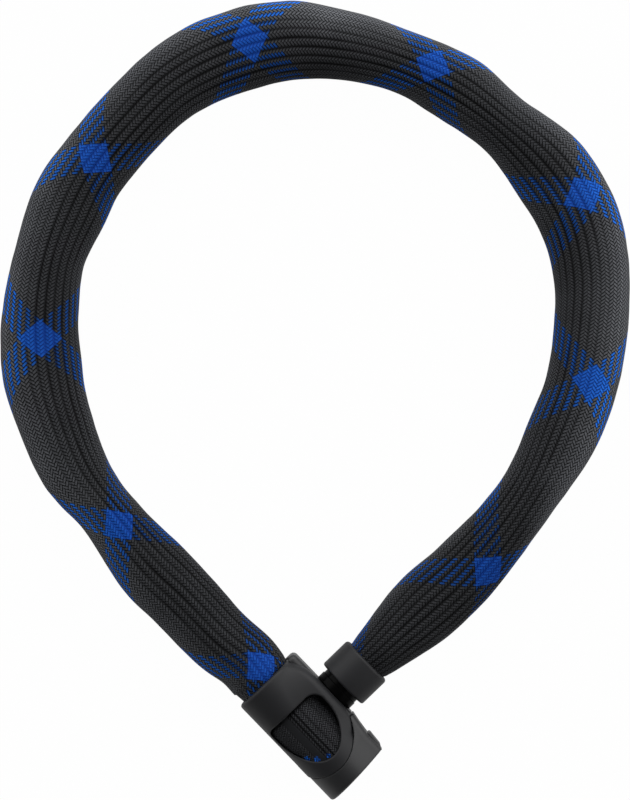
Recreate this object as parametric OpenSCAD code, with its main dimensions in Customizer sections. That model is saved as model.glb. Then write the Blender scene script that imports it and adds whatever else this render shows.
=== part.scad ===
// Cable lock: a short steel cable in a textile sleeve, closed into a loop by a
// keyed lock body. The loop lies flat on Z = 0. Inside in_lock() the axes are those of
// the lock body: X from its mouth to its key end, Y towards the plug, Z up.

/* [Lock body] */
// Outer diameter of the soft cover
cover_diameter = 32; // [31.6:0.2:34]
// Wall of the soft cover
cover_wall = 2; // [1.6:0.1:2.2]
// Depth of the flat ground on the round underside
underside_flat = 0.5; // [0.3:0.1:1]
// How far the soft cover stands proud of the end casing
cover_step = 0.4; // [0.2:0.1:0.6]
// Rounding of the cover at its mouth, as a chamfer
mouth_chamfer = 1.2; // [0.6:0.1:1.6]
// Depth of the mouth in front of the metal core
mouth_depth = 5; // [4:0.5:6]
// Chamfer round the key end
end_chamfer = 1.5; // [0.5:0.1:2]
// Height of the end casing's flat side above the body axis
casing_top = 9.2; // [9:0.1:10]
// Corner radius along the end casing's flat side
casing_corner = 2.5; // [1.5:0.1:2.5]

/* [Window and tongue] */
// Distance from the mouth to the straight edge of the window
window_start = 18; // [17:0.5:20]
// Length of the window along the body
window_length = 28; // [24:0.5:30]
// Width of the window, seen from above
window_width = 30; // [26:0.2:31]
// Length of the window's straight sides
window_side = 6; // [4:0.5:8]
// Corner radius of the window's straight edge
window_corner = 2.4; // [1:0.2:3]
// Thickness of the braided panel in the window
panel_thickness = 1.3; // [1:0.1:1.4]
// Half of the angle that the braided panel wraps round the core
panel_half_angle = 70; // [60:1:71]
// Width of the cover between the window's arch and the tongue's edge
tongue_width = 6.4; // [5:0.1:7]
// Half width of the ellipse that ends the tongue
tongue_half_width = 23; // [22:0.5:25]

/* [Socket lug] */
// Reach of the lug's flat side from the body axis
lug_reach = 19.3; // [19:0.1:20]
// How far the lug stands in front of the mouth
lug_overhang = 1.6; // [0:0.1:3]
// Distance from the mouth to the lug's far end
lug_end = 39; // [38.5:0.5:40]
// Height of the lug's top above the body axis
lug_top = 6; // [5:0.5:8]
// Corner radius along the lug's top edge
lug_corner = 4; // [2:0.5:5]
// Chamfer on the upright edges of the lug
lug_chamfer = 1.2; // [0.5:0.1:1.5]
// How far the lug stands out past the end casing's flat side
casing_step = 1.7; // [1.3:0.1:2.2]
// Radius of the cover's flare at the lug's flat side
flare_radius = 15.5; // [14.5:0.1:16]
// Spread of the flare from the flat side to the round cover
flare_spread = 5.3; // [4:0.1:5.5]
// Depth of the flare's axis below the plug's axis
flare_drop = 4.5; // [4:0.1:5.5]

/* [Plug] */
// Distance from the mouth to the plug's axis
plug_from_mouth = 26; // [25.5:0.1:26.5]
// Depth of the plug's axis below the body axis
plug_drop = 1.5; // [1.2:0.1:1.8]
// Diameter of the locking pin
pin_diameter = 10; // [9:0.2:10.4]
// Distance from the body axis to the locking pin's tip
pin_tip = 2.5; // [2.3:0.1:2.9]
// Length of the pin's head in front of the groove
pin_head = 2.9; // [2.4:0.1:3]
// Width of the groove for the latch
groove_width = 3.6; // [3.4:0.1:4]
// Diameter of the pin inside the groove
groove_diameter = 6; // [5:0.2:6.2]
// Chamfer on the pin's nose
pin_chamfer = 0.8; // [0.3:0.1:1.2]
// Diameter of the neck beside the collar
neck_diameter = 21; // [20:0.2:22]
// How much the neck narrows towards the body
neck_taper = 1; // [0:0.2:2]
// Length of the neck
neck_length = 5.7; // [5:0.1:7]
// Width of the dark groove between neck and collar
neck_groove = 1.6; // [1:0.1:2]
// Depth of that groove
neck_groove_depth = 0.6; // [0.3:0.1:0.8]
// Outer diameter of the collar
collar_diameter = 26; // [25.6:0.2:28]
// Length of the collar
collar_length = 16; // [15.5:0.5:18]
// Chamfer on both ends of the collar
collar_chamfer = 1.2; // [0.5:0.1:1.5]
// End wall of the collar round the pin
collar_wall = 1.1; // [0.8:0.1:1.5]
// Depth of the collar's open end, which takes the sleeve
collar_pocket = 5.3; // [4.6:0.1:6]

/* [Cable] */
// Diameter of the steel cable
cable_diameter = 10; // [8:0.5:10]
// Outer diameter of the plastic jacket
jacket_diameter = 14; // [13:0.5:14]
// Wall of the textile sleeve
sleeve_wall = 2; // [1.4:0.1:2]
// Width of the sleeve where it enters the mouth
sleeve_mouth = 26.6; // [24:0.2:26.6]
// Width of the sleeve where it enters the collar
sleeve_collar = 21.2; // [20.6:0.2:21.4]
// Diameter of the anchor on the fixed cable end
anchor_diameter = 15; // [14:0.2:16]
// Length of the anchor
anchor_length = 12.9; // [12.5:0.1:13.3]
// Depth of the cable in the anchor
anchor_grip = 7.5; // [6:0.1:7.7]
// Diameter of the anchor's cross pin
anchor_pin_diameter = 3; // [2.5:0.1:3.2]
// Diameter of the ferrule in the collar
ferrule_diameter = 16; // [15:0.2:16.4]
// Depth of the cable in that ferrule
ferrule_grip = 4.6; // [3.5:0.1:5]
// Depth of the locking pin in that ferrule
ferrule_pin_depth = 3.6; // [3.2:0.1:3.8]
// Diameter of the cross pin in the ferrule
cross_pin_diameter = 2; // [1.5:0.1:2.2]
// Depth of the cable's clamp rings inside the mouth and the collar
ring_recess = 0.5; // [0.3:0.1:1]

/* [Latch] */
// Thickness of the latch along the plug's axis
latch_thickness = 3; // [2.6:0.1:3]
// Height of the latch bar
latch_height = 3.1; // [3:0.1:3.4]
// Offset of the cam's crank pin, which sets the latch travel
crank_offset = 1.6; // [1.4:0.05:1.7]
// Diameter of the crank pin
crank_diameter = 2.4; // [2:0.1:2.6]
// Thickness of the latch's yoke
yoke_thickness = 2.2; // [2:0.1:2.3]
// Diameter of the wire of the latch spring
spring_wire = 0.5; // [0.4:0.05:0.6]
// Outer diameter of the latch spring
spring_diameter = 3.6; // [3.2:0.1:3.8]
// Number of turns of the latch spring
spring_turns = 3; // [2:0.5:3]
// Thickness of the lid under the latch
lid_thickness = 1.5; // [1.2:0.1:1.6]

/* [Key cylinder] */
// Length of the cylinder barrel
barrel_length = 16.9; // [16:0.1:20]
// Diameter of the cylinder barrel
barrel_diameter = 17; // [16.5:0.1:17.4]
// Diameter of the rotor
rotor_diameter = 12; // [11.4:0.1:12.4]
// Diameter of the discs
disc_diameter = 9; // [8.6:0.1:9.2]
// Thickness of each disc
disc_thickness = 1.3; // [1:0.1:1.4]
// Number of discs
disc_count = 8; // [5:1:8]
// Width of the keyway
keyway_width = 2.2; // [1.8:0.1:2.6]
// Height of the keyway
keyway_height = 6.4; // [5:0.2:7]
// Thickness of the drill plate
drill_plate_thickness = 1.4; // [1:0.1:1.5]
// Diameter of the pin that holds the barrel
barrel_pin_diameter = 2.5; // [2:0.1:3]
// Distance from the barrel's inner end to that pin
barrel_pin_place = 7.4; // [5:0.2:9]

/* [Key cover] */
// Thickness of the sliding cover plate
plate_thickness = 1.8; // [1.4:0.1:2]
// Width of the cover plate
plate_width = 14.4; // [13.6:0.2:16]
// Diameter of the opening in front of the keyhole
key_opening = 13; // [10:0.5:13.4]
// Length of the finger tab along the body
tab_length = 10; // [8:0.5:10]
// Width of the finger tab
tab_width = 10; // [6:0.5:12]
// Height of the finger tab above the casing's flat side
tab_height = 1.1; // [0.8:0.1:1.5]
// Chamfer on the finger tab's corner at the key end
tab_chamfer = 1.8; // [1:0.1:2]

/* [Fits] */
// Gap between fixed pieces that fit together
fit = 0.1; // [0.05:0.05:0.15]
// Gap round the locking pin, which leaves on an arc
pin_clearance = 0.3; // [0.25:0.05:0.4]
// Gap round sliding pieces
slide_clearance = 0.3; // [0.2:0.05:0.3]
// Gap round the rotor
rotor_clearance = 0.08; // [0.05:0.01:0.1]

/* [Hidden] */

$fn = 64;
// What a cut reaches past a face, so that no skin is left on it.
thin = 0.01;

// Place of the lock body: its mouth centre and the turn of its axis.
lock_x = -23.5;
lock_y = -131;
lock_turn = -46;

cover_r = cover_diameter / 2;
bore_r = cover_r - cover_wall;
core_r = bore_r - 2 * fit;
axis_height = cover_r - underside_flat;
casing_r = cover_r - cover_step;
casing_bore_r = core_r + fit;
casing_reach = lug_reach - casing_step;
cable_r = cable_diameter / 2;
jacket_r = jacket_diameter / 2;

// Along the plug's axis, from the body axis outwards.
pin_r = pin_diameter / 2;
socket_r = pin_r + pin_clearance;
groove_start = pin_tip + pin_head;
groove_end = groove_start + groove_width;
neck_start = lug_reach + slide_clearance;
collar_start = neck_start + neck_length;
collar_end = collar_start + collar_length;
ferrule_r = ferrule_diameter / 2;
ferrule_start = collar_start + collar_wall + fit;
pin_end = ferrule_start + ferrule_pin_depth;
ferrule_end = collar_end - collar_pocket;
socket_boss_r = 8;
socket_boss_end = lug_reach - 2;
seal_wall = 2.2;
flare_start = 6;
plug_axis_w = -plug_drop;

// Along the body axis, from the mouth to the key end.
anchor_end = mouth_depth + anchor_length;
yoke_wall = 2.7;
yoke_start = plug_from_mouth + socket_r + yoke_wall;
yoke_end = yoke_start + yoke_thickness;
web_start = yoke_end + slide_clearance;
web_end = web_start + 0.8;
cam_disc_start = web_end + 2 * fit;
cam_disc_thickness = 0.9;
clip_thickness = 0.7;
clip_width = 2.6;
clip_gap = 2.8;
barrel_start = cam_disc_start + cam_disc_thickness + clip_thickness + 5 * fit;
rotor_end = barrel_start + barrel_length;
core_end = rotor_end + fit;
drill_plate_start = core_end + fit;
drill_plate_end = drill_plate_start + drill_plate_thickness;
plate_start = drill_plate_end + fit;
plate_end = plate_start + plate_thickness;
end_wall = 1;
body_length = plate_end + end_wall;
lip_thickness = 0.9;
lip_width = 0.8;
barrel_r = barrel_diameter / 2;
rotor_r = rotor_diameter / 2;
rotor_tail_r = 4.2;
rotor_wall_end = barrel_start + 1.8;
rotor_face_wall = 1.3;
sidebar_r = 0.6;
sidebar_at = rotor_r - sidebar_r - fit;
disc_space_end = rotor_end - rotor_face_wall;
cam_shank_r = 2;
pin_recess = 0.3;
anchor_pin_edge = 1.5;
barrel_pin_depth = 1.5;
plate_gap = 2 * fit;
key_chamfer = 0.6;
tab_edge = 0.5;

// Latch: crank pin low at rest, a quarter turn lifts the latch into the groove.
crank_r = crank_diameter / 2;
crank_reach = crank_offset * sin(45);
latch_travel = 2 * crank_reach;
latch_top = plug_axis_w - socket_r - slide_clearance;
latch_bottom = latch_top - latch_height;
latch_v = groove_start + (groove_width - latch_thickness) / 2;
foot_start_v = -3;
yoke_end_v = 5.5;
yoke_top = 3.2;
bar_start_u = plug_from_mouth - 4.5;
spring_u = yoke_start - 0.6;
spring_v = 1.5;
spring_pocket = 2.2;
spring_pocket_r = spring_diameter / 2 + 2 * fit;
foot_wall = 0.6;
foot_start_u = spring_u - spring_pocket_r - foot_wall;
latch_pocket_top = latch_top + latch_travel + slide_clearance;
lid_top = latch_bottom - 0.5;
lid_bottom = lid_top - lid_thickness;
lid_lip = 1.6;
lid_start_u = bar_start_u - slide_clearance - lid_lip;
lid_end_u = web_start + 0.5;
lid_start_v = foot_start_v - slide_clearance - lid_lip;
lid_end_v = groove_end + lid_lip;

panel_outer_r = bore_r - fit;
panel_inner_r = panel_outer_r - panel_thickness;
panel_start = window_start - 1;
panel_length = window_length + 2;
window_centre = window_start + window_side;
tongue_end = window_start + window_length + tongue_width;
tongue_centre_v = -1.5;

// The loop opens about an upright axis at the outer edge of the left arm. The axis is
// level with the middle of the inserted pin, so that the pin leaves almost straight.
hinge_reach = 214;
plug_mid = (pin_tip + lug_reach) / 2;
hinge = lock_point(plug_from_mouth - hinge_reach, plug_mid);

// Route of the cable, as [x, y, middle height, sleeve width, sleeve height].
split = [-127.2, 15.4, 13.2, 36, 26.4];
fixed_laid = [
    [-45, -109.5, 14, 31.4, 28],
    [-62, -92, 13.8, 33, 27.6],
    [-77.5, -76.5, 14, 32.8, 28],
    [-95.5, -54.5, 15, 27.6, 30],
    [-111.5, -32.5, 14.4, 31.2, 28.8],
    [-122, -7.5, 13.6, 34.4, 27.2]
];
free_laid = [
    [-128, 39.5, 13.6, 35, 27.2],
    [-124, 66, 14, 32.8, 28],
    [-114, 91.5, 13.4, 35.8, 26.8],
    [-103.5, 108.5, 13.6, 34.4, 27.2],
    [-86, 129.5, 13.6, 34.6, 27.2],
    [-65.5, 148.5, 13.4, 35.8, 26.8],
    [-40.5, 161, 12.8, 38, 25.6],
    [-13, 167, 13.2, 36.6, 26.4],
    [15.5, 164.5, 14.2, 32, 28.4],
    [42, 157, 15, 28.6, 30],
    [66, 144.5, 14.4, 31.4, 28.8],
    [87.5, 128, 15, 28.4, 30],
    [107, 109.5, 13, 37, 26],
    [121.5, 86, 13, 37.4, 26],
    [128.5, 59.5, 13.4, 35.4, 26.8],
    [128, 32.5, 13.8, 34.2, 27.6],
    [123.5, 6.5, 14, 33, 28],
    [114, -17.5, 14, 32.8, 28],
    [101.5, -40, 15, 28.2, 30],
    [86, -61, 15, 28.8, 30],
    [67.5, -82, 14, 32.2, 28],
    [51, -96, 13.8, 33.6, 27.6]
];

// A point of the lock body's plane, in the frame of the whole lock.
function lock_point(u, v) = [
    lock_x + u * cos(lock_turn) - v * sin(lock_turn),
    lock_y + u * sin(lock_turn) + v * cos(lock_turn)
];
function laid(u, v, z, width, height) = concat(lock_point(u, v), [z, width, height]);
function unit(p) = p / norm(p);
function flat(p) = [p[0], p[1]];

plug_height = axis_height + plug_axis_w;
sleeve_start = mouth_depth - 4 * fit;
sleeve_stop = ferrule_end + 4 * fit;
u_out = [-cos(lock_turn), -sin(lock_turn)];
v_in = [sin(lock_turn), -cos(lock_turn)];
split_arm = unit(flat(split) - hinge);
split_along = [-split_arm[1], split_arm[0]];

mouth_points = [
    laid(sleeve_start, 0, axis_height, sleeve_mouth, sleeve_mouth),
    laid(-0.8, 0, axis_height, sleeve_mouth, sleeve_mouth),
    laid(-4, 0.4, axis_height - 0.2, 29.4, 28.6),
    laid(-14, 0.8, 14.5, 30.4, 28.6)
];
collar_points = [
    laid(plug_from_mouth + 0.6, collar_end + 12, plug_height + 0.2, 26.4, 27),
    laid(plug_from_mouth + 0.2, collar_end + 3, plug_height, 23, 23.4),
    laid(plug_from_mouth, collar_end, plug_height, sleeve_collar, sleeve_collar),
    laid(plug_from_mouth, sleeve_stop, plug_height, sleeve_collar, sleeve_collar)
];
fixed_route = concat(mouth_points, fixed_laid, [split]);
free_route = concat([split], free_laid, collar_points);

// Catmull-Rom curve through the points, with a number of steps between two of them.
function blend(a, b, c, d, t) =
    0.5 * (2 * b + (c - a) * t + (2 * a - 5 * b + 4 * c - d) * pow(t, 2)
    + (3 * b - a - 3 * c + d) * pow(t, 3));
function smooth(points, steps) = concat(
    [for (i = [0 : len(points) - 2]) for (s = [0 : steps - 1])
        blend(points[max(i - 1, 0)], points[i], points[i + 1],
            points[min(i + 2, len(points) - 1)], s / steps)],
    [points[len(points) - 1]]
);

// Direction of the route at a point. The two ends have a direction of their own.
function heading(path, i, first, last) =
    i == 0 ? first : i == len(path) - 1 ? last : unit(flat(path[i + 1] - path[i - 1]));
// One ring: an upright oval of a width and a height, square to the route.
function ring(point, along, width, height, sides) = [
    for (k = [0 : sides - 1])
        let (a = (k + 0.5) * 360 / sides)
            [point[0] - along[1] * cos(a) * width / 2,
            point[1] + along[0] * cos(a) * width / 2,
            point[2] + sin(a) * height / 2]
];
// Two triangles for each side between ring i and the next one.
function wall_faces(rings, sides, base, turned) = [
    for (i = [0 : rings - 2]) for (k = [0 : sides - 1])
        let (a = base + i * sides + k, b = base + i * sides + (k + 1) % sides)
            each turned ? [[a, b, a + sides], [b, b + sides, a + sides]]
                : [[a, a + sides, b], [b, a + sides, b + sides]]
];
// Triangles that close a tube's end between the outer ring and the inner ring.
function rim_faces(outer, inner, sides, turned) = [
    for (k = [0 : sides - 1])
        let (n = (k + 1) % sides)
            each turned ? [[outer + k, inner + k, outer + n], [inner + k, inner + n, outer + n]]
                : [[outer + k, outer + n, inner + k], [inner + k, outer + n, inner + n]]
];
function fan_faces(base, sides, turned) = [
    for (k = [1 : sides - 2])
        turned ? [base, base + k + 1, base + k] : [base, base + k, base + k + 1]
];

// Sweeps a solid bar, or a tube where an inner size is given.
module swept(path, first, last, sides, outer, inner) {
    count = len(path);
    outer_points = [for (i = [0 : count - 1]) each ring(path[i],
        heading(path, i, first, last), outer[i][0], outer[i][1], sides)];
    if (is_undef(inner)) {
        polyhedron(outer_points, concat(
            wall_faces(count, sides, 0, false),
            fan_faces(0, sides, false),
            fan_faces((count - 1) * sides, sides, true)));
    } else {
        inner_points = [for (i = [0 : count - 1]) each ring(path[i],
            heading(path, i, first, last), inner[i][0], inner[i][1], sides)];
        shift = count * sides;
        polyhedron(concat(outer_points, inner_points), concat(
            wall_faces(count, sides, 0, false),
            wall_faces(count, sides, shift, true),
            rim_faces(0, shift, sides, false),
            rim_faces(shift - sides, 2 * shift - sides, sides, true)));
    }
}

sleeve_sides = 12;
cable_sides = 8;
// A ring's corners lie outside the oval that its flat sides touch.
corner = 1 / cos(180 / sleeve_sides);
function sleeve_sizes(path, wall) =
    [for (p = path) [(p[3] - 2 * wall) * corner, (p[4] - 2 * wall) * corner]];
function round_sizes(path, diameter) = [for (p = path) [diameter, diameter]];

module sleeve_length(route, first, last) {
    path = smooth(route, 2);
    swept(path, first, last, sleeve_sides, sleeve_sizes(path, 0), sleeve_sizes(path, sleeve_wall));
}
module jacket_length(path, first, last) {
    swept(path, first, last, cable_sides, round_sizes(path, jacket_diameter),
        round_sizes(path, cable_diameter + 2 * fit));
}
module cable_length(path, first, last) {
    swept(path, first, last, cable_sides, round_sizes(path, cable_diameter));
}
// Route of the jacket: the sleeve's, without its first point, from the anchor on.
function tail(points, start) = [for (i = [start : len(points) - 1]) points[i]];
function head(points, count) = [for (i = [0 : count - 1]) points[i]];
jacket_fixed_path = concat([laid(mouth_depth, 0, axis_height, 0, 0)], tail(fixed_route, 1));
cable_fixed_path = concat(
    [laid(mouth_depth + anchor_grip - 2 * fit, 0, axis_height, 0, 0)], jacket_fixed_path);
jacket_free_path = concat(head(free_route, len(free_route) - 1),
    [laid(plug_from_mouth, ferrule_end, plug_height, 0, 0)]);
cable_free_path = concat(jacket_free_path,
    [laid(plug_from_mouth, ferrule_end - ferrule_grip + 2 * fit, plug_height, 0, 0)]);

module in_lock() {
    translate([lock_x, lock_y, axis_height]) rotate([0, 0, lock_turn]) children();
}
// A round bar along the body axis.
module along_body(start, end, r1, r2) {
    translate([start, 0, 0]) rotate([0, 90, 0])
        cylinder(h = end - start, r1 = r1, r2 = is_undef(r2) ? r1 : r2);
}
// An outline in the body's cross plane, drawn out along the body axis.
module body_section(start, end) {
    translate([start, 0, 0]) rotate([90, 0, 90]) linear_extrude(end - start) children();
}
// A round bar along the plug's axis.
module along_plug(start, end, r1, r2) {
    translate([plug_from_mouth, start, plug_axis_w]) rotate([-90, 0, 0])
        cylinder(h = end - start, r1 = r1, r2 = is_undef(r2) ? r1 : r2);
}
module block(u0, u1, v0, v1, w0, w1) {
    translate([u0, v0, w0]) cube([u1 - u0, v1 - v0, w1 - w0]);
}
module upright_pin(u, v, w0, w1, r) {
    translate([u, v, w0]) cylinder(h = w1 - w0, r = r);
}
// Everything that lies above the flat ground on the underside.
module above_ground(start, end) {
    block(start, end, -2 * cover_r, 2 * cover_r, -axis_height, 2 * cover_r);
}

// Sector of the body's cross plane about the upward direction, wider than a half square.
module sector(half_angle) {
    far = 3 * cover_r;
    edge = far * cos(half_angle) / sin(half_angle);
    polygon([[0, 0], [far, edge], [far, far], [-far, far], [-far, edge]]);
}

// Cross section of the flat side: a block with rounded corners on its outer side.
module side_outline(reach, top, rounding) {
    low = -axis_height;
    union() {
        translate([0, low + rounding]) square([reach, top - low - 2 * rounding]);
        translate([0, low]) square([reach - rounding, top - low]);
        translate([reach - rounding, top - rounding]) circle(rounding);
        translate([reach - rounding, low + rounding]) circle(rounding);
    }
}
// A stretch of the flat side, with its upright edges chamfered.
module side_block(start, end, reach, top, rounding, near_chamfer, far_chamfer) {
    intersection() {
        body_section(start, end) side_outline(reach, top, rounding);
        translate([0, 0, -2 * cover_r]) linear_extrude(4 * cover_r) polygon([
            [start, 0], [start, reach - near_chamfer], [start + near_chamfer, reach],
            [end - far_chamfer, reach], [end, reach - far_chamfer], [end, 0]]);
    }
}
// The lug without its bores, grown by a gap where the cover makes room for it.
module lug_shape(grow) {
    difference() {
        side_block(-lug_overhang - grow, lug_end + grow, lug_reach + grow, lug_top + grow,
            lug_corner, lug_chamfer, lug_chamfer);
        along_body(-lug_overhang - 1, lug_end + 1, cover_r + fit - grow);
    }
}
// Outline of the arched window, seen from above.
module window_outline() {
    half = window_width / 2;
    reach = window_length - window_side;
    union() {
        polygon([for (a = [-90 : 6 : 90]) [window_centre + reach * cos(a), half * sin(a)]]);
        translate([window_start, window_corner - half])
            square([window_side, window_width - 2 * window_corner]);
        translate([window_start + window_corner, -half])
            square([window_side - window_corner, window_width]);
        for (side = [-1, 1])
            translate([window_start + window_corner, side * (half - window_corner)])
                circle(window_corner);
    }
}
// Half ellipse that ends the tongue. Behind it the end casing begins.
module tongue_outline(grow) {
    reach = tongue_end - window_centre + grow;
    half = tongue_half_width + grow;
    union() {
        polygon([for (a = [-90 : 5 : 90])
            [window_centre + reach * cos(a), tongue_centre_v + half * sin(a)]]);
        translate([-cover_r, tongue_centre_v - half])
            square([window_centre + cover_r + thin, 2 * half]);
    }
}
module tongue_space(grow) {
    translate([0, 0, -2 * cover_r]) linear_extrude(4 * cover_r) tongue_outline(grow);
}

// Space of the latch, from rest to the end of its travel.
module latch_space() {
    gap = slide_clearance;
    bar_end = yoke_end + gap;
    block(bar_start_u - gap, bar_end, groove_start, groove_end, lid_top, latch_pocket_top);
    block(foot_start_u - gap, bar_end, foot_start_v - gap, groove_end, lid_top, latch_pocket_top);
    block(yoke_start - gap, bar_end, foot_start_v - gap, yoke_end_v + gap, lid_top,
        yoke_top + latch_travel + gap);
}
module lid_plan(grow, low) {
    block(lid_start_u - grow, lid_end_u + grow, lid_start_v - grow, lid_end_v + grow, low, lid_top);
}

module lock_core() {
    color("#8f9296") in_lock() difference() {
        union() {
            along_body(mouth_depth, core_end, core_r);
            along_plug(0, socket_boss_end, socket_boss_r);
        }
        // Seat of the braided panel
        difference() {
            body_section(panel_start - fit, panel_start + panel_length + fit)
                sector(panel_half_angle + 1);
            along_body(0, core_end, panel_inner_r - fit);
        }
        along_body(mouth_depth - 1, anchor_end + 2 * fit, anchor_diameter / 2 + fit);
        anchor_pin_bar(fit);
        along_plug(pin_tip - pin_clearance, lug_reach, socket_r);
        latch_space();
        lid_plan(fit, -2 * core_r);
        along_body(yoke_end, core_end, crank_offset + crank_r + slide_clearance);
        along_body(web_end, core_end + 1, barrel_r + fit);
        barrel_pin_bar(fit);
    }
}
// Cross pins stop short of the core's surface, and their holes reach past it.
module anchor_pin_bar(grow) {
    at = anchor_end - anchor_pin_diameter / 2 - anchor_pin_edge;
    reach = core_r - pin_recess + 4 * grow;
    upright_pin(at, 0, -reach, reach, anchor_pin_diameter / 2 + grow);
}
module barrel_pin_bar(grow) {
    upright_pin(barrel_start + barrel_pin_place, 0, pin_recess - core_r - 4 * grow,
        barrel_pin_depth - barrel_r + grow, barrel_pin_diameter / 2 + grow);
}

module top_cover() {
    color("#3f4144") in_lock() intersection() {
        above_ground(-1, body_length);
        tongue_space(0);
        difference() {
            union() {
                along_body(0, mouth_chamfer, cover_r - mouth_chamfer, cover_r);
                along_body(mouth_chamfer, body_length, cover_r);
                intersection() {
                    translate([0, 0, -flare_drop]) along_plug(flare_start, lug_reach - fit,
                        flare_radius + flare_spread, flare_radius);
                    block(0, lug_end - lug_chamfer, 0, lug_reach, 0, cover_r);
                }
            }
            along_body(-1, body_length, bore_r);
            along_body(-thin, mouth_chamfer, bore_r + mouth_chamfer / 2, bore_r);
            linear_extrude(2 * cover_r) window_outline();
            along_plug(0, lug_reach, socket_boss_r + fit);
            lug_shape(fit);
        }
    }
}
module socket_lug() {
    color("#34363a") in_lock() difference() {
        intersection() {
            lug_shape(0);
            above_ground(-lug_overhang, lug_end);
        }
        along_plug(0, lug_reach + 1, socket_r + seal_wall + fit);
        along_plug(0, socket_boss_end + fit, socket_boss_r + fit);
    }
}
module end_casing() {
    color("#3a3c40") in_lock() difference() {
        intersection() {
            above_ground(0, body_length + 1);
            union() {
                along_body(window_start, body_length - end_chamfer, casing_r);
                along_body(body_length - end_chamfer, body_length, casing_r, casing_r - end_chamfer);
                side_block(lug_end + 2 * fit, body_length, casing_reach, casing_top,
                    casing_corner, cover_step, end_chamfer);
            }
        }
        // Room for the tongue. Beside the round cover the flat side goes on to the lug.
        intersection() {
            tongue_space(fit);
            union() {
                along_body(0, body_length, cover_r + fit);
                block(0, body_length, 0, lug_reach, lug_top + fit, 2 * cover_r);
            }
        }
        along_body(0, drill_plate_end + thin, casing_bore_r);
        // Runner of the key cover, open on the flat side
        block(plate_start - fit, plate_end + fit, -plate_width / 2 - plate_gap, 2 * casing_reach,
            -plate_width / 2 - plate_gap, plate_width / 2 + plate_gap);
        along_body(plate_end - end_wall, body_length + 1, key_opening / 2);
        along_body(body_length - key_chamfer, body_length + thin, key_opening / 2,
            key_opening / 2 + key_chamfer);
    }
}
module window_fabric() {
    color("#26282b") in_lock() intersection() {
        difference() {
            along_body(panel_start, panel_start + panel_length, panel_outer_r);
            along_body(panel_start - 1, panel_start + panel_length + 1, panel_inner_r);
        }
        body_section(panel_start - 1, panel_start + panel_length + 1) sector(panel_half_angle);
    }
}
module socket_seal() {
    color("#161718") in_lock() difference() {
        along_plug(socket_boss_end + fit, lug_reach - 2 * fit, socket_r + seal_wall);
        along_plug(0, lug_reach + 1, socket_r + fit);
    }
}
module cable_anchor() {
    color("#b4b7bb") in_lock() difference() {
        along_body(mouth_depth, anchor_end, anchor_diameter / 2);
        along_body(mouth_depth - 1, mouth_depth + anchor_grip, cable_r + fit);
        anchor_pin_bar(fit);
    }
}
module anchor_pin() {
    color("#d0d2d4") in_lock() anchor_pin_bar(0);
}
module fixed_clamp_ring() {
    color("#1d1e20") in_lock() difference() {
        along_body(ring_recess, mouth_depth - 2 * fit, sleeve_mouth / 2 - sleeve_wall - fit);
        along_body(0, mouth_depth, jacket_r + fit);
    }
}
module fixed_cable() {
    color("#b9bcc0") cable_length(cable_fixed_path, u_out, split_along);
}
module fixed_jacket() {
    color("#2a2b2d") jacket_length(jacket_fixed_path, u_out, split_along);
}
module fixed_sleeve() {
    color("#2b3f8f") sleeve_length(fixed_route, u_out, split_along);
}
module free_cable() {
    color("#b9bcc0") cable_length(cable_free_path, split_along, v_in);
}
module free_jacket() {
    color("#2a2b2d") jacket_length(jacket_free_path, split_along, v_in);
}
module free_sleeve() {
    color("#2b3f8f") sleeve_length(free_route, split_along, v_in);
}

module latch_lid() {
    color("#9c9fa3") in_lock() intersection() {
        lid_plan(0, lid_bottom);
        along_body(mouth_depth, core_end, core_r - fit);
    }
}
// Helical spring under the latch, one unbroken wire.
module latch_spring() {
    mean = (spring_diameter - spring_wire) / 2;
    height = latch_bottom + spring_pocket - lid_top - spring_wire - 2 * fit;
    steps = 10;
    count = round(spring_turns * steps);
    wire_sides = 6;
    points = [for (i = [0 : count]) each [for (k = [0 : wire_sides - 1])
        let (t = i * 360 / steps, a = k * 360 / wire_sides, r = mean + cos(a) * spring_wire / 2)
            [r * cos(t), r * sin(t), i * height / count + sin(a) * spring_wire / 2]]];
    color("#c8cacc") in_lock()
        translate([spring_u, spring_v, lid_top + fit + spring_wire / 2])
            polyhedron(points, concat(
                wall_faces(count + 1, wire_sides, 0, true),
                fan_faces(0, wire_sides, true),
                fan_faces(count * wire_sides, wire_sides, false)));
}
module latch() {
    slot_reach = crank_r + slide_clearance;
    side_gap = slide_clearance + 2 * fit;
    latch_end_v = latch_v + latch_thickness;
    color("#a9822f") in_lock() difference() {
        union() {
            block(bar_start_u, yoke_end, latch_v, latch_end_v, latch_bottom, latch_top);
            block(foot_start_u, yoke_end, foot_start_v, latch_end_v, latch_bottom, latch_top);
            block(yoke_start, yoke_end, foot_start_v, yoke_end_v, latch_bottom, yoke_top);
        }
        // Slot of the crank pin, across the latch's travel
        block(yoke_start - 1, yoke_end + 1, crank_reach - crank_r - side_gap,
            crank_offset + crank_r + side_gap, -crank_reach - slot_reach, slot_reach - crank_reach);
        upright_pin(spring_u, spring_v, latch_bottom - 1, latch_bottom + spring_pocket,
            spring_pocket_r);
    }
}

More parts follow.
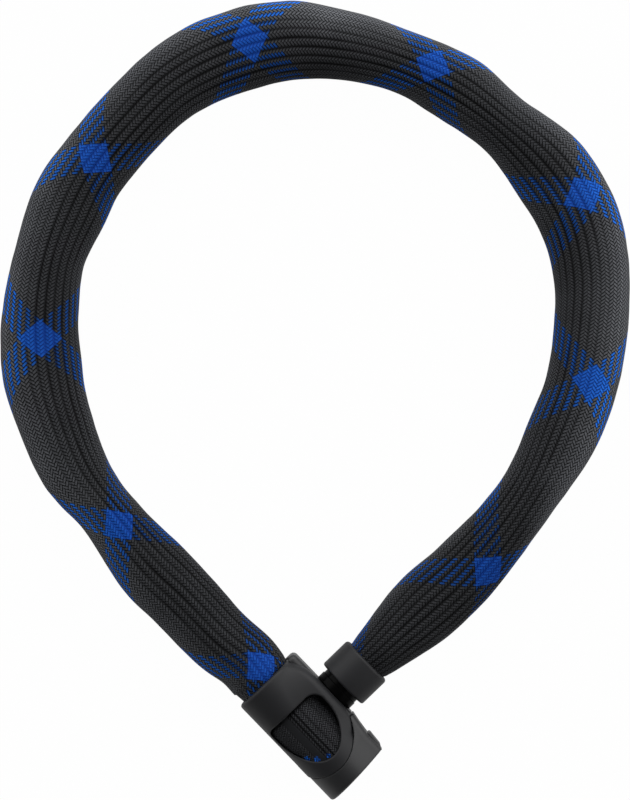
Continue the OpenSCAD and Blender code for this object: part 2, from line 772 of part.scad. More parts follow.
module keyway(start, end) {
    block(start, end, -keyway_width / 2, keyway_width / 2, -keyway_height / 2, keyway_height / 2);
}
module cylinder_barrel() {
    color("#8a7a4a") in_lock() difference() {
        along_body(barrel_start, rotor_end, barrel_r);
        along_body(barrel_start - 1, rotor_end - lip_thickness, rotor_r + rotor_clearance);
        along_body(barrel_start, core_end, rotor_r - lip_width + rotor_clearance);
        barrel_pin_bar(fit);
    }
}
module barrel_pin() {
    color("#d0d2d4") in_lock() barrel_pin_bar(0);
}
module rotor() {
    color("#b08d3c") in_lock() difference() {
        union() {
            along_body(barrel_start - clip_thickness - 3 * fit, barrel_start + fit, rotor_tail_r);
            along_body(barrel_start + fit, rotor_end - lip_thickness - fit, rotor_r);
            along_body(barrel_start + 1, rotor_end, rotor_r - lip_width);
        }
        along_body(rotor_wall_end, disc_space_end, disc_diameter / 2 + fit);
        along_body(0, rotor_wall_end + 1, cam_shank_r + fit / 2);
        keyway(rotor_wall_end + 1, body_length);
        block(rotor_wall_end, disc_space_end, -sidebar_r - fit, sidebar_r + fit, 0, rotor_r + 1);
    }
}
module lock_discs() {
    first = rotor_wall_end + fit;
    pitch = (disc_space_end - first) / disc_count;
    color("#c9ab5e") in_lock() difference() {
        for (i = [0 : disc_count - 1])
            along_body(first + i * pitch, first + i * pitch + min(disc_thickness, pitch - fit),
                disc_diameter / 2);
        keyway(0, body_length);
    }
}
module sidebar() {
    color("#d0d2d4") in_lock() translate([0, 0, sidebar_at])
        along_body(rotor_wall_end + 2 * fit, disc_space_end - 2 * fit, sidebar_r);
}
module rotor_clip() {
    color("#6f7276") in_lock() difference() {
        along_body(barrel_start - clip_thickness - fit, barrel_start - fit,
            rotor_tail_r + clip_width);
        along_body(0, body_length, rotor_tail_r + fit / 2);
        block(0, body_length, 0, 3 * rotor_tail_r, -clip_gap / 2, clip_gap / 2);
    }
}
module cam() {
    color("#c8cacc") in_lock() union() {
        along_body(cam_disc_start, cam_disc_start + cam_disc_thickness, rotor_tail_r - 2 * fit);
        along_body(cam_disc_start, rotor_wall_end - fit, cam_shank_r);
        translate([0, crank_reach, -crank_reach])
            along_body(yoke_start + 2 * fit, cam_disc_start + thin, crank_r);
    }
}
module drill_plate() {
    color("#8d9094") in_lock() difference() {
        along_body(drill_plate_start, drill_plate_end, core_r);
        keyway(0, body_length);
    }
}
module key_cover() {
    outer = casing_reach + fit + tab_height;
    color("#3c3e42") in_lock() intersection() {
        union() {
            block(plate_start, plate_end, -plate_width / 2, casing_reach + 2 * fit,
                -plate_width / 2, plate_width / 2);
            block(plate_end - tab_length, plate_end, casing_reach + fit, outer,
                -tab_width / 2, tab_width / 2);
        }
        // Chamfered outer corner
        translate([0, 0, -cover_r]) linear_extrude(2 * cover_r) polygon([
            [0, -cover_r], [plate_end, -cover_r], [plate_end, outer - tab_chamfer],
            [plate_end - tab_chamfer, outer], [plate_end - tab_length + tab_edge, outer],
            [plate_end - tab_length, outer - tab_edge], [0, outer - tab_edge]]);
    }
}

module plug_pin() {
    color("#c9cbcd") in_lock() difference() {
        union() {
            along_plug(pin_tip, pin_tip + pin_chamfer, pin_r - pin_chamfer, pin_r);
            along_plug(pin_tip + pin_chamfer, pin_end, pin_r);
        }
        difference() {
            along_plug(groove_start, groove_end, pin_r + 1);
            along_plug(0, pin_end, groove_diameter / 2);
        }
        cross_pin_bar(fit);
    }
}
module cross_pin_bar(grow) {
    reach = ferrule_r - 2 * fit + grow;
    at = ferrule_start + ferrule_pin_depth / 2;
    translate([plug_from_mouth, at, plug_axis_w - reach])
        cylinder(h = 2 * reach, r = cross_pin_diameter / 2 + grow);
}
module plug_cross_pin() {
    color("#d0d2d4") in_lock() cross_pin_bar(0);
}
module plug_neck() {
    big = neck_diameter / 2;
    groove_at = collar_start - neck_groove;
    color("#1b1c1e") in_lock() difference() {
        union() {
            along_plug(neck_start, groove_at, big - neck_taper / 2, big);
            along_plug(groove_at, collar_start, big - neck_groove_depth);
        }
        along_plug(0, collar_end, pin_r + fit);
    }
}
module plug_collar() {
    r = collar_diameter / 2;
    color("#3f4144") in_lock() difference() {
        union() {
            along_plug(collar_start, collar_start + collar_chamfer, r - collar_chamfer, r);
            along_plug(collar_start + collar_chamfer, collar_end - collar_chamfer, r);
            along_plug(collar_end - collar_chamfer, collar_end, r, r - collar_chamfer);
        }
        along_plug(0, collar_end, pin_r + fit);
        along_plug(ferrule_start - fit, collar_end, ferrule_r + fit);
        along_plug(ferrule_end, collar_end + 1, sleeve_collar * corner / 2 + fit);
    }
}
module plug_ferrule() {
    color("#b4b7bb") in_lock() difference() {
        along_plug(ferrule_start, ferrule_end, ferrule_r);
        along_plug(0, pin_end + fit, pin_r + fit);
        along_plug(ferrule_end - ferrule_grip, ferrule_end + 1, cable_r + fit);
        cross_pin_bar(fit);
    }
}
module plug_clamp_ring() {
    color("#1d1e20") in_lock() difference() {
        along_plug(ferrule_end + fit, collar_end - ring_recess,
            sleeve_collar / 2 - sleeve_wall - fit);
        along_plug(0, collar_end, jacket_r + fit);
    }
}

lock_core();
top_cover();
socket_lug();
end_casing();
window_fabric();
socket_seal();
cable_anchor();
anchor_pin();
fixed_clamp_ring();
fixed_cable();
fixed_jacket();
fixed_sleeve();
latch_lid();
latch_spring();
cylinder_barrel();
barrel_pin();
drill_plate();
latch();
rotor();
lock_discs();
sidebar();
rotor_clip();
cam();
key_cover();
plug_pin();
plug_neck();
plug_collar();
plug_ferrule();
plug_cross_pin();
plug_clamp_ring();
free_cable();
free_jacket();
free_sleeve();
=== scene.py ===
"""Cable lock: a steel cable in a braided sleeve, closed into a loop by a keyed lock body."""
import math
import bpy
import numpy as np
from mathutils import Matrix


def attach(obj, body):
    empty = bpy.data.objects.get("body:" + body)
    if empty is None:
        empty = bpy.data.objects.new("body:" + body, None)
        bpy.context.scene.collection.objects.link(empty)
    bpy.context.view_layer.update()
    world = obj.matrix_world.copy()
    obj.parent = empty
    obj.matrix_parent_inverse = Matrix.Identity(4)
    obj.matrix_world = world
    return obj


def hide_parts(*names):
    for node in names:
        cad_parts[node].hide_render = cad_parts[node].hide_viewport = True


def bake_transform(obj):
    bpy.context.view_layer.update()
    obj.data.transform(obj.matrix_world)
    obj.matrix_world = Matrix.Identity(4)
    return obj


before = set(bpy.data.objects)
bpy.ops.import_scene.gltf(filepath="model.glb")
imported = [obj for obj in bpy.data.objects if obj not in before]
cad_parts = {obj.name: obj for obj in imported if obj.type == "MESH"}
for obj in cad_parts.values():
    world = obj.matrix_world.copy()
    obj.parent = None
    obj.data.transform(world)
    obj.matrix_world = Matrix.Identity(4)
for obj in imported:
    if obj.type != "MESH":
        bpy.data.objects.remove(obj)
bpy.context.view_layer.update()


# ---------------------------------------------------------------- camera
# The lock lies flat and is looked at from straight above, from far enough away
# that the loop is not drawn in perspective.
camera_height = 2.0
loop_middle_height = 0.014
view_length = 0.372                          # of the table, along the view's longer side
sensor_width = 36

camera_data = bpy.data.cameras.new("camera")
camera_data.sensor_width = sensor_width
camera_data.lens = sensor_width * (camera_height - loop_middle_height) / view_length
camera = bpy.data.objects.new("camera", camera_data)
camera.location = (0, 0, camera_height)
bpy.context.scene.collection.objects.link(camera)
bpy.context.scene.camera = camera


# ---------------------------------------------------------------- braided sleeve
# A tubular braid of polyester yarn, 52 yarns each way, two over and two under. Ten
# yarns each way are blue. It runs from the lock's mouth round the loop into the collar,
# where clamp rings hold its ends, and lies in soft folds over the cable.
MM = 0.001                                   # sizes are in millimetres, and the frame in metres
lock_place = np.array([-23.5, -131.0])       # middle of the lock body's mouth, on the table
lock_turn = math.radians(-46)
axis_height = 15.5                           # of the lock body's axis
plug_height = 14.0                           # of the locking pin's axis
plug_from_mouth = 26.0


def lock_point(u, v):
    """Place on the table of a point u along the lock body and v towards the plug."""
    c, s = math.cos(lock_turn), math.sin(lock_turn)
    return lock_place[0] + u * c - v * s, lock_place[1] + u * s + v * c


# Route of the sleeve in millimetres: x, y, height of its middle, width, height.
mouth_points = [(*lock_point(u, v), z, w, h) for u, v, z, w, h in (
    (4.6, 0, 15.5, 26.6, 26.6), (-0.8, 0, 15.5, 26.6, 26.6),
    (-4, 0.4, 15.3, 29.4, 28.6), (-14, 0.8, 14.5, 30.4, 28.6))]
fixed_laid = [
    (-45.4, -109.9, 14, 32, 28), (-62, -92, 13.8, 33.3, 27.6), (-77.4, -76.4, 14, 33.4, 28),
    (-97.5, -51.2, 15, 27.2, 30), (-111.6, -32.6, 14.4, 32, 28.8),
    (-121.8, -7.5, 13.6, 34.8, 27.2), (-127, 15.4, 13.2, 37.6, 26.4)]
free_laid = [
    (-127.7, 39.5, 13.6, 35.6, 27.2), (-123.5, 65.8, 14, 33.1, 28),
    (-113.8, 91.4, 13.4, 37, 26.8), (-103.5, 108.5, 13.6, 34.8, 27.2),
    (-85.8, 129.3, 13.6, 34.3, 27.2), (-65.4, 148.3, 13.4, 36, 26.8),
    (-40.5, 161, 12.8, 38.4, 25.6), (-13, 167, 13.2, 37, 26.4), (15.5, 164.5, 14.2, 32, 28.4),
    (41.9, 156.7, 15, 29.2, 30), (66.1, 144.7, 14.4, 32.4, 28.8), (87.4, 127.9, 15, 29.1, 30),
    (107, 109.5, 13, 37.3, 26), (122, 86.2, 13, 37.8, 26), (128.5, 59.5, 13.4, 35.4, 26.8),
    (128.2, 32.5, 13.8, 34.2, 27.6), (123.8, 6.4, 14, 33.8, 28), (114, -17.5, 14, 33.5, 28),
    (101.5, -40, 15, 28.2, 30), (86, -61, 15, 29.4, 30), (67.2, -81.8, 14, 33.3, 28),
    (51.4, -96.4, 13.8, 34.4, 27.6)]
collar_points = [(*lock_point(u, v), z, w, h) for u, v, z, w, h in (
    (26.6, 53.3, 14.2, 26.4, 27), (26.2, 44.3, 14, 23, 23.4),
    (26, 41.3, 14, 21.2, 21.2), (26, 36.4, 14, 21.2, 21.2))]
sleeve_route = np.array(mouth_points + fixed_laid + free_laid + collar_points)
arch_top = np.array([-13.0, 167.0])          # where the two lengths of the model meet
yarns_each_way, blue_yarns = 52, 10
first_blue_yarn, second_blue_yarn = 8, 34    # where the blue ones start, each way
braid_pitch = 90.0                           # length in which a yarn goes round once
# Places on the upper side where the two blue bands cross, in millimetres.
blue_crossings = np.array([
    (-24.6, -123.2), (-90.7, -57.2), (-126.9, 28.8), (-101.8, 111.6), (-30.7, 166.5),
    (54.9, 154.4), (124.6, 95.3), (128.3, 8.4), (80.0, -79.5)])


def eased(x, places, values):
    """Cubic curve through the values at the places."""
    slopes = np.gradient(values, places, axis=0)
    k = np.clip(np.searchsorted(places, x) - 1, 0, len(places) - 2)
    step = (places[k + 1] - places[k])[:, None]
    t = ((x - places[k])[:, None]) / step
    a, b = values[k], values[k + 1]
    return (a * (2 * t ** 3 - 3 * t ** 2 + 1) + b * (3 * t ** 2 - 2 * t ** 3)
            + slopes[k] * step * (t ** 3 - 2 * t ** 2 + t)
            + slopes[k + 1] * step * (t ** 3 - t ** 2))


def laid_curve(points, steps):
    """Smooth curve through the points of a route, and the way along it at each point."""
    padded = np.vstack([points[:1], points, points[-1:]])
    t = (np.arange(steps) / steps)[:, None]
    parts = []
    for a, b, c, d in zip(padded, padded[1:], padded[2:], padded[3:]):
        parts.append(0.5 * (2 * b + (c - a) * t + (2 * a - 5 * b + 4 * c - d) * t ** 2
                            + (3 * b - a - 3 * c + d) * t ** 3))
    curve = np.vstack(parts + [points[-1:]])
    way = np.zeros(len(curve))
    way[1:] = np.cumsum(np.linalg.norm(np.diff(curve[:, :2], axis=0), axis=1))
    return curve, way


sleeve_curve, sleeve_way = laid_curve(sleeve_route, 20)
# Its direction is evened out over nine points, so that the sides run smoothly.
heading = np.gradient(sleeve_curve[:, :2], sleeve_way, axis=0)
kernel = np.ones(9) / 9
for k in range(2):
    heading[4:-4, k] = np.convolve(heading[:, k], kernel, "valid")
heading /= np.linalg.norm(heading, axis=1)[:, None]
outward = np.column_stack([-heading[:, 1], heading[:, 0]])


def nearest_on_route(place):
    """Number of the route's point that is nearest to a place on the table."""
    return int(np.argmin(np.linalg.norm(sleeve_curve[:, :2] - place, axis=1)))


# Turns of the braid along the way, and how far it is twisted, from the crossings.
crossing_at = [nearest_on_route(place) for place in blue_crossings]
crossing_way = sleeve_way[crossing_at]
aside = np.sum((blue_crossings - sleeve_curve[crossing_at, :2]) * outward[crossing_at], axis=1)
half_width_there = sleeve_curve[crossing_at, 3] / 2
crossing_turn = np.arccos(np.clip(aside / half_width_there, -1, 1)) / (2 * math.pi)
braid_places = np.concatenate([[crossing_way[0] - braid_pitch], crossing_way,
                               [crossing_way[-1] + braid_pitch]])
braid_values = np.column_stack([
    np.arange(-1, len(blue_crossings) + 1),
    0.25 - np.concatenate([crossing_turn[:1], crossing_turn, crossing_turn[-1:]])]).astype(float)
braid_turns, braid_twist = eased(sleeve_way, braid_places, braid_values).T
# The sleeve is held tight where the clamp rings are, and free to fold elsewhere.
held_in_mouth, held_in_collar, eases_over = 8, 12, 12
slack = np.clip(np.minimum(sleeve_way - held_in_mouth,
                           sleeve_way[-1] - held_in_collar - sleeve_way) / eases_over, 0, 1)
# Where it folds: the middle of the folded side as an angle, and how far it spreads.
# These also set where the sleeve's colour is painted darker as shade.
fold_places = [0, 60, 110, 160, 260, 320, 380, 415, 455, 540, 575, 605, 650, 690, 740]
fold_side = np.interp(sleeve_way, fold_places, [
    1.95, 1.95, 2.10, 2.05, 1.95, 1.80, 1.85, 2.10, 1.65, 1.65, 1.95, 2.10, 2.10, 1.95, 1.5])
fold_spread = np.interp(sleeve_way, fold_places, [
    0.15, 0.10, -0.12, -0.10, -0.05, 0.05, 0.05, -0.05, -0.08, -0.08, -0.1, -0.2, -0.2, -0.1, 0.3])


class Wire:
    """A socket of a node tree. What is worked out with it adds its nodes to the tree."""

    def __init__(self, tree, socket):
        self.tree, self.socket = tree, socket

    def node(self, kind, settings=(), sockets=(), output=0):
        """Adds any node: its settings first, then the values or wires of its sockets."""
        made = self.tree.nodes.new(kind)
        for name, value in dict(settings).items():
            setattr(made, name, value)
        for name, value in dict(sockets).items():
            if isinstance(value, Wire):
                self.tree.links.new(value.socket, made.inputs[name])
            else:
                made.inputs[name].default_value = value
        return Wire(self.tree, made.outputs[output] if made.outputs else None)

    def other(self, output):
        """Another output of the same node."""
        return Wire(self.tree, self.socket.node.outputs[output])

    def maths(self, operation, *values):
        return self.node("ShaderNodeMath", {"operation": operation}, dict(enumerate(values)))

    def __add__(self, other): return self.maths("ADD", self, other)
    def __radd__(self, other): return self.maths("ADD", other, self)
    def __sub__(self, other): return self.maths("SUBTRACT", self, other)
    def __rsub__(self, other): return self.maths("SUBTRACT", other, self)
    def __mul__(self, other): return self.maths("MULTIPLY", self, other)
    def __rmul__(self, other): return self.maths("MULTIPLY", other, self)
    def __truediv__(self, other): return self.maths("DIVIDE", self, other)
    def __mod__(self, other): return self.maths("FLOORED_MODULO", self, other)
    def __pow__(self, other): return self.maths("POWER", self, other)
    def __abs__(self): return self.maths("ABSOLUTE", self)
    def __lt__(self, other): return self.maths("LESS_THAN", self, other)
    def __gt__(self, other): return self.maths("GREATER_THAN", self, other)
    def floor(self): return self.maths("FLOOR", self)
    def sine(self): return self.maths("SINE", self)
    def cosine(self): return self.maths("COSINE", self)
    def least(self, other): return self.maths("MINIMUM", self, other)
    def most(self, other): return self.maths("MAXIMUM", self, other)

    def ease(self, low, high):
        """0 below low, 1 above high, and a smooth rise between them."""
        return self.node("ShaderNodeMapRange", {"interpolation_type": "SMOOTHSTEP"},
                         {0: self, 1: low, 2: high})

    def between(self, low, high):
        """1 where the value lies between the two."""
        return (self > low) * (self < high)

    def parts(self):
        split = self.node("ShaderNodeSeparateXYZ", (), {0: self})
        return split, split.other(1), split.other(2)

    def vector(self, x, y, z=0.0):
        return self.node("ShaderNodeCombineXYZ", (), {0: x, 1: y, 2: z})

    def tint(self, light, dark, amount):
        """Colour between two colours, by an amount."""
        return self.node("ShaderNodeMix", {"data_type": "RGBA"}, {0: amount, 6: light, 7: dark}, 2)


def new_finish(name, rough, **fixed):
    """Material with its shader. Sockets that are the same all over are set here."""
    finish = bpy.data.materials.new(name)
    finish.use_nodes = True
    shader = finish.node_tree.nodes["Principled BSDF"]
    shader.inputs["Roughness"].default_value = rough
    for socket, value in fixed.items():
        shader.inputs[socket.replace("_", " ")].default_value = value
    return finish, shader, Wire(finish.node_tree, None)


def grain_height(shader, wire, height, distance, strength):
    """Gives the shader a fine relief of a height between 0 and 1."""
    bump = wire.node("ShaderNodeBump", (), {"Height": height, "Distance": distance,
                                            "Strength": strength})
    wire.tree.links.new(bump.socket, shader.inputs["Normal"])


def noise(wire, place, scale, detail):
    return wire.node("ShaderNodeTexNoise", (), {"Vector": place, "Scale": scale,
                                                "Detail": detail})


def braid_finish(name, pressed=False, spots=(), spot_reach=(0, 0)):
    """Two-over-two-under braid, drawn on the map "braid": turns along, turns round. A
    pressed one has a smooth band, and blue spots in place of the blue yarns."""
    # Painted shade: the gaps between the yarns get nearly black colours of their own.
    black_top, black_gap_shade = (0.125, 0.130, 0.142, 1), (0.0016, 0.0016, 0.0019, 1)
    blue_top, blue_gap_shade = (0.020, 0.175, 0.78, 1), (0.002, 0.024, 0.17, 1)
    finish, shader, wire = new_finish(name, 0.78, Specular_IOR_Level=0.08)
    along, round_, _ = wire.node("ShaderNodeUVMap", {"uv_map": "braid"}).parts()
    # The yarns of each way are counted by a number that grows by one across a yarn.
    first = (along + round_) * yarns_each_way
    second = (along - round_) * yarns_each_way
    first_yarn, second_yarn = first.floor(), second.floor()
    first_on_top = ((first_yarn - second_yarn) % 4) < 2
    # Place across the upper yarn, and along the stretch in which it lies on top.
    first_across, second_across = first - first_yarn - 0.5, second - second_yarn - 0.5
    first_along = ((second - first_yarn + 2) % 4) - 2
    second_along = ((first - second_yarn - 1) % 4) - 2
    across = first_on_top * first_across + (1 - first_on_top) * second_across
    ahead = first_on_top * first_along + (1 - first_on_top) * second_along
    # Each yarn is two ends laid side by side.
    end = abs(across) - 0.25
    height = ((0.7 * (1 - 6.0 * across ** 2) + 0.3 * (1 - 14 * end ** 2))
              * (1 - 0.6 * ahead ** 4)).most(0)
    # Fine filaments along each yarn.
    filaments = 0.5 + 0.5 * ((across * 44 + ahead * 5).sine())
    place = wire.node("ShaderNodeTexCoord", (), (), "Object")
    fuzz = noise(wire, place, 1800, 2.0)
    wear = noise(wire, place, 70, 3.0)
    shadow = wire.node("ShaderNodeAttribute", {"attribute_name": "shadow"}, (), "Fac")
    # Painted shade: each yarn is drawn darker where it sinks between its neighbours, down to the
    # gap's colour, and darker again by the mesh's "shadow" values.
    shade = height.ease(0.14, 0.80) * (0.86 + 0.14 * filaments) * (0.60 + 0.80 * fuzz)
    shade = shade * (1 - shadow) * (0.75 + 0.5 * wear)
    # Painted sheen: the yarns of the first way are drawn a little lighter than those of the second.
    shade = shade * (0.9 + 0.2 * first_on_top)
    first_blue, second_blue = (
        (yarn % yarns_each_way).between(start - 0.5, start + blue_yarns - 0.5)
        for yarn, start in ((first_yarn, first_blue_yarn), (second_yarn, second_blue_yarn)))
    blue = first_on_top * first_blue + (1 - first_on_top) * second_blue
    # The gaps between the yarns are blue only where both bands are.
    blue_under = first_blue * second_blue
    if pressed:
        band = wire.node("ShaderNodeAttribute", {"attribute_name": "smooth_band"}, (), "Fac")
        # Painted shade: the panel's yarns are drawn at about a quarter of the sleeve's brightness,
        # for the shade in the cover's window.
        panel_shade, band_tone = 0.26, 0.36
        shade = panel_shade * (1.3 * shade ** 1.6 * (1 - band) + band_tone * band * (0.8 + 0.4 * fuzz))
        height = height * (1 - band)
        cell_along = (first_yarn + second_yarn + 1) / (2 * yarns_each_way)
        cell_round = (first_yarn - second_yarn) / (2 * yarns_each_way)
        long, wide = spot_reach
        blue = sum(cell_along.between(a - long, a + long) * cell_round.between(r - wide, r + wide)
                   for a, r in spots)
        shade = shade * (1 + 1.5 * blue)
        blue_under = 0.2 * blue
    top = wire.tint(black_top, blue_top, blue)
    gap = wire.tint(black_gap_shade, blue_gap_shade, blue_under)
    colour = wire.tint(gap, top, shade.least(1.25))
    wire.tree.links.new(colour.socket, shader.inputs["Base Color"])
    grain_height(shader, wire, height * (1 - 0.5 * shadow), 0.0004, 0.8)
    return finish


def sleeve_tree():
    """Geometry Nodes tree that sweeps the sleeve along a guide line."""
    tree = bpy.data.node_groups.new("sleeve_round_a_route", "GeometryNodeTree")
    tree.interface.new_socket("Geometry", in_out="OUTPUT", socket_type="NodeSocketGeometry")
    for name, kind in (("Guide", "Geometry"), ("Rings", "Int"), ("Columns", "Int"),
                       ("Ribs", "Int"), ("Rib Depth", "Float"), ("Lump Height", "Float"),
                       ("Lump Size", "Float"), ("Finish", "Material")):
        tree.interface.new_socket(name, in_out="INPUT", socket_type="NodeSocket" + kind)
    wire = Wire(tree, None)
    given = wire.node("NodeGroupInput")
    rings, columns = given.other("Rings"), given.other("Columns")
    guide = wire.node("GeometryNodeMeshToCurve", (), {0: given.other("Guide")})
    # One row of points for each ring, and one more at each end that closes it.
    sheet = wire.node("GeometryNodeMeshGrid", (), {
        "Size X": 1.0, "Size Y": 1.0, "Vertices X": rings + 2, "Vertices Y": columns + 1})
    x, y, _ = wire.node("GeometryNodeInputPosition").parts()
    row = ((x + 0.5) * (rings + 1) + 0.5).floor()
    share = ((row - 1) / (rings - 1)).most(0).least(1)
    on_ring = row.between(0.5, 0.5 + rings)
    round_ = y + 0.5

    def on_guide(attribute):
        field = wire.node("GeometryNodeInputNamedAttribute", {"data_type": "FLOAT_VECTOR"},
                          {"Name": attribute})
        return wire.node("GeometryNodeSampleCurve",
                         {"mode": "FACTOR", "data_type": "FLOAT_VECTOR"},
                         {"Curves": guide, "Value": field, "Factor": share}).parts()
    centre_x, centre_y, centre_z = on_guide("centre")
    across_x, across_y, free = on_guide("across")
    half_width, half_height, fold_side = on_guide("half")
    turns, twist, fold_spread = on_guide("braid_way")
    angle = (round_ - twist) * (2 * math.pi)
    side, up = angle.cosine(), angle.sine()
    # The braid's columns part into ribs on one side of the sleeve. Each valley between
    # them has a depth of its own, which changes along the sleeve.
    gather = (1.1 * (angle - fold_side).cosine() + fold_spread).most(0.03).least(1)
    at_valley = round_ * given.other("Ribs")
    valley = 1 - abs((at_valley * math.pi).sine())
    own = wire.node("ShaderNodeTexNoise", (), {
        "Vector": wire.vector(((at_valley + 0.5).floor() % given.other("Ribs")) * 7.3, turns * 2.2),
        "Scale": 1.0, "Detail": 1.0})
    own_depth = 0.75 + 0.4 * own.ease(0.40, 0.62)
    parted = valley * own_depth * gather ** 2
    # Painted shade: the colour is darker over the folded side, and darkest in the valleys between
    # its ribs.
    shadow = 1 - (1 - 0.73 * gather) * (1 - 1.2 * parted * valley ** 0.5).most(0)
    around = wire.vector(centre_x + across_x * side * half_width,
                         centre_y + across_y * side * half_width, centre_z + up * half_height)
    lumps = wire.node("ShaderNodeTexNoise", (), {
        "Vector": around, "Scale": given.other("Lump Size"), "Detail": 1.0})
    swell = ((lumps - 0.5) * given.other("Lump Height") * 2
             - parted * given.other("Rib Depth")) * free
    wide, high = (half_width + swell) * on_ring, (half_height + swell) * on_ring
    place = wire.vector(centre_x + across_x * side * wide, centre_y + across_y * side * wide,
                        (centre_z + up * high).most(0.0003))
    # Besides the braid's map it gets one for the bake, on which the sleeve lies as two
    # strips side by side.
    mapped = sheet
    strips = 2
    strip = (share * strips - 0.0001).most(0)
    strip = wire.node("GeometryNodeFieldOnDomain", {"data_type": "FLOAT", "domain": "FACE"},
                      {0: strip}).floor()
    for name, where in (("braid", wire.vector(turns, round_)),
                        ("OFBake", wire.vector((share * strips - strip) * 0.98 + 0.01,
                                               (round_ * 0.97 + strip + 0.015) / strips))):
        mapped = wire.node("GeometryNodeStoreNamedAttribute",
                           {"data_type": "FLOAT2", "domain": "CORNER"},
                           {"Geometry": mapped, "Name": name, "Value": where})
    mapped = wire.node("GeometryNodeStoreNamedAttribute",
                       {"data_type": "FLOAT", "domain": "POINT"},
                       {"Geometry": mapped, "Name": "shadow", "Value": shadow})
    shaped = wire.node("GeometryNodeSetPosition", (), {"Geometry": mapped, "Position": place})
    closed = wire.node("GeometryNodeMergeByDistance", (),
                       {"Geometry": shaped, "Distance": 0.00001})
    smooth = wire.node("GeometryNodeSetShadeSmooth", (), {"Geometry": closed})
    real = wire.node("GeometryNodeRealizeInstances", (), {0: smooth})
    dressed = wire.node("GeometryNodeSetMaterial", (),
                        {"Geometry": real, "Material": given.other("Finish")})
    wire.node("NodeGroupOutput", (), {0: dressed})
    return tree


def by_nodes(name, tree, source, **values):
    """Runs a Geometry Nodes tree on a mesh and returns its result as a plain piece."""
    worker = bpy.data.objects.new(name + "_source", source)
    bpy.context.scene.collection.objects.link(worker)
    modifier = worker.modifiers.new("tree", "NODES")
    modifier.node_group = tree
    for item in tree.interface.items_tree:
        key = item.name.lower().replace(" ", "_")
        if item.in_out == "INPUT" and key in values:
            modifier[item.identifier] = values[key]
    bpy.context.view_layer.update()
    ready = worker.evaluated_get(bpy.context.evaluated_depsgraph_get())
    mesh = bpy.data.meshes.new_from_object(ready)
    mesh.name = name
    piece = bpy.data.objects.new(name, mesh)
    bpy.context.scene.collection.objects.link(piece)
    worker.modifiers.remove(modifier)
    bpy.data.objects.remove(worker)
    return piece


def sleeve_guide(name, chosen):
    """Line of points with what the tree needs to know at each of them."""
    middle = sleeve_curve[chosen, :3] * MM
    mesh = bpy.data.meshes.new(name)
    mesh.from_pydata(middle.tolist(), [(k, k + 1) for k in range(len(middle) - 1)], [])
    facts = {
        "centre": middle,
        "across": np.column_stack([outward[chosen], slack[chosen]]),
        "half": np.column_stack([sleeve_curve[chosen, 3:5] * MM / 2, fold_side[chosen]]),
        "braid_way": np.column_stack([braid_turns[chosen], braid_twist[chosen],
                                      fold_spread[chosen]])}
    for attribute, values in facts.items():
        layer = mesh.attributes.new(attribute, "FLOAT_VECTOR", "POINT")
        layer.data.foreach_set("vector", values.astype(np.float32).ravel())
    return mesh


braid = braid_finish("braided_sleeve")
sleeve_sweep = sleeve_tree()
ribs, columns_per_rib, ring_step = 26, 12, 1.7
join = nearest_on_route(arch_top)
lengths = {"sleeve_left_arm": slice(0, join + 1), "sleeve_right_arm": slice(join, None)}
sleeves = {}
for name, chosen in lengths.items():
    length = sleeve_way[chosen][-1] - sleeve_way[chosen][0]
    sleeve = by_nodes(name, sleeve_sweep, sleeve_guide(name + "_guide", chosen),
                      rings=int(length / ring_step), columns=ribs * columns_per_rib, ribs=ribs,
                      rib_depth=0.6 * MM, lump_height=0.6 * MM, lump_size=55.0, finish=braid)
    sleeve.data.set_sharp_from_angle(angle=math.radians(65))
    sleeves[name] = sleeve, sleeve_curve[chosen, :3] * MM, length * MM

# The left arm stays where it lies, and the right arm goes with the loop's arm.
left, left_path, left_length = sleeves["sleeve_left_arm"]
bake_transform(left)
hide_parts("fixed_sleeve")
[tuple(p) for p in left_path[::4]] + [tuple(left_path[-1])]
right, right_path, right_length = sleeves["sleeve_right_arm"]
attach(right, "loop_arm")
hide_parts("free_sleeve")
[tuple(p) for p in right_path[::4]] + [tuple(right_path[-1])]


# ---------------------------------------------------------------- soft cover
# The cover is a tube of soft matt plastic pushed over the metal core. It has an arched
# window, ends in a tongue over the end casing, and flares out above the plug's socket.
def joined(a, b, r):
    """Two solids as one, with a fillet of radius r between them."""
    return np.maximum(r, np.minimum(a, b)) - np.hypot(np.maximum(r - a, 0), np.maximum(r - b, 0))


def cut(a, b, r):
    """What two solids have in common, with its edge rounded to radius r."""
    return np.minimum(-r, np.maximum(a, b)) + np.hypot(np.maximum(r + a, 0), np.maximum(r + b, 0))


def oval(x, y, a, b):
    """Distance to an ellipse."""
    k = np.sqrt((x / a) ** 2 + (y / b) ** 2)
    return k * (k - 1) / np.maximum(np.sqrt((x / a ** 2) ** 2 + (y / b ** 2) ** 2), 1e-9)


